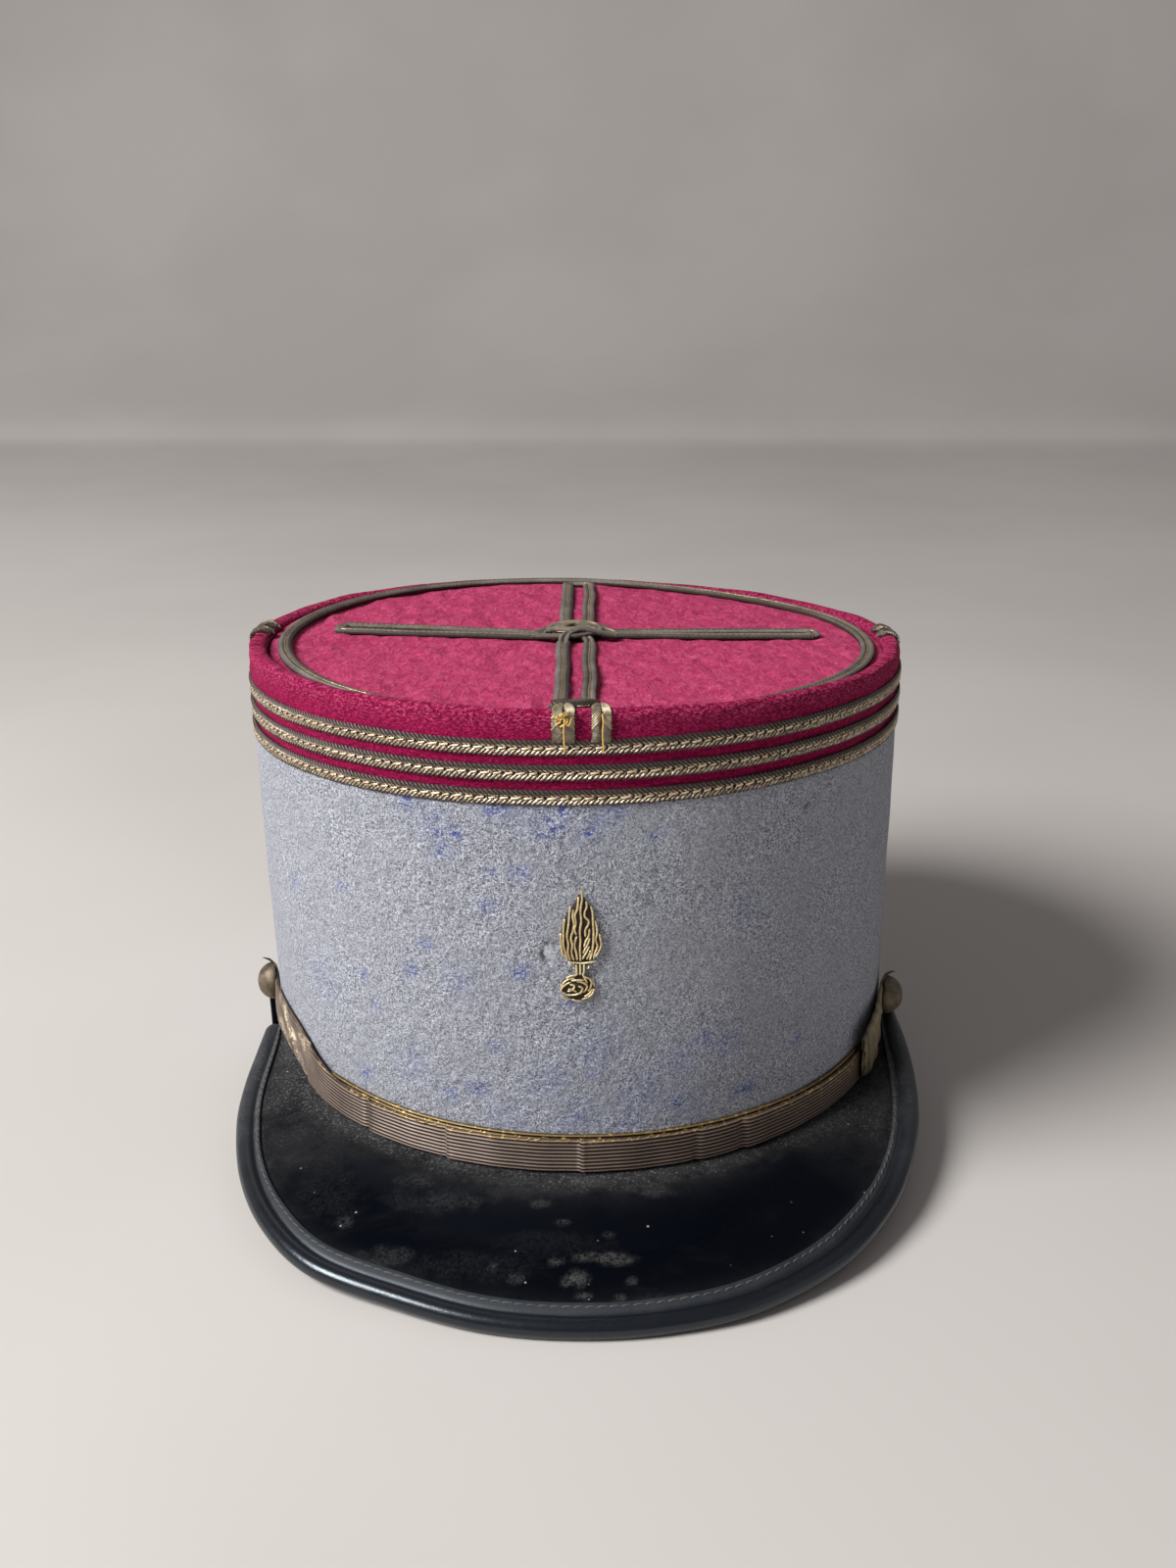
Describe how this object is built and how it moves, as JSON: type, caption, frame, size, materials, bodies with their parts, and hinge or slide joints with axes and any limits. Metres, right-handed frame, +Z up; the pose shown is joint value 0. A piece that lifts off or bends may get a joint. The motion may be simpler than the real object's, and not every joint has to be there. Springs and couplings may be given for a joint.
{
  "type": "military hat",
  "caption": "Officer's kepi with a felt band, cloth crown, braid trim, embroidered badge, leather peak and chin strap, worn on the head.",
  "frame": {"origin": "middle of the bounding box's base, on the table that the hat stands on", "axes": "+Z up, -Y towards the front of the peak, +X to the right of a person who looks at the front"},
  "size_m": [0.1768, 0.2386, 0.1253],
  "materials": {
    "felt": "grey-blue wool felt, salt and pepper, worn",
    "crimson": "crimson wool cloth with a short nap",
    "braid": "tarnished gold braid",
    "gold": "gold bullion thread",
    "patent_leather": "glossy black, dusty and crazed",
    "strap": "ribbed tarnished gold braid on leather",
    "brass": "dull brown tarnish"
  },
  "bodies": {
    "root": {"felt_band": "felt", "crown_side": "crimson", "crown_top": "crimson", "galon_top": "braid", "galon_middle": "braid", "galon_bottom": "braid", "ring_braid": "braid", "knot_arm_front": "braid", "knot_arm_back": "braid", "knot_arm_left": "braid", "knot_arm_right": "braid", "knot_centre": "braid", "upright_front_left": "braid", "upright_front_right": "braid", "upright_back_left": "braid", "upright_back_right": "braid", "upright_left_front": "braid", "upright_left_back": "braid", "upright_right_front": "braid", "upright_right_back": "braid", "badge_flame": "gold", "badge_ball": "gold", "peak": "patent_leather", "peak_binding": "patent_leather", "chin_strap": "strap", "strap_underlay": "strap", "strap_keeper": "strap", "button_left": "brass", "button_right": "brass"}
  },
  "joints": []
}
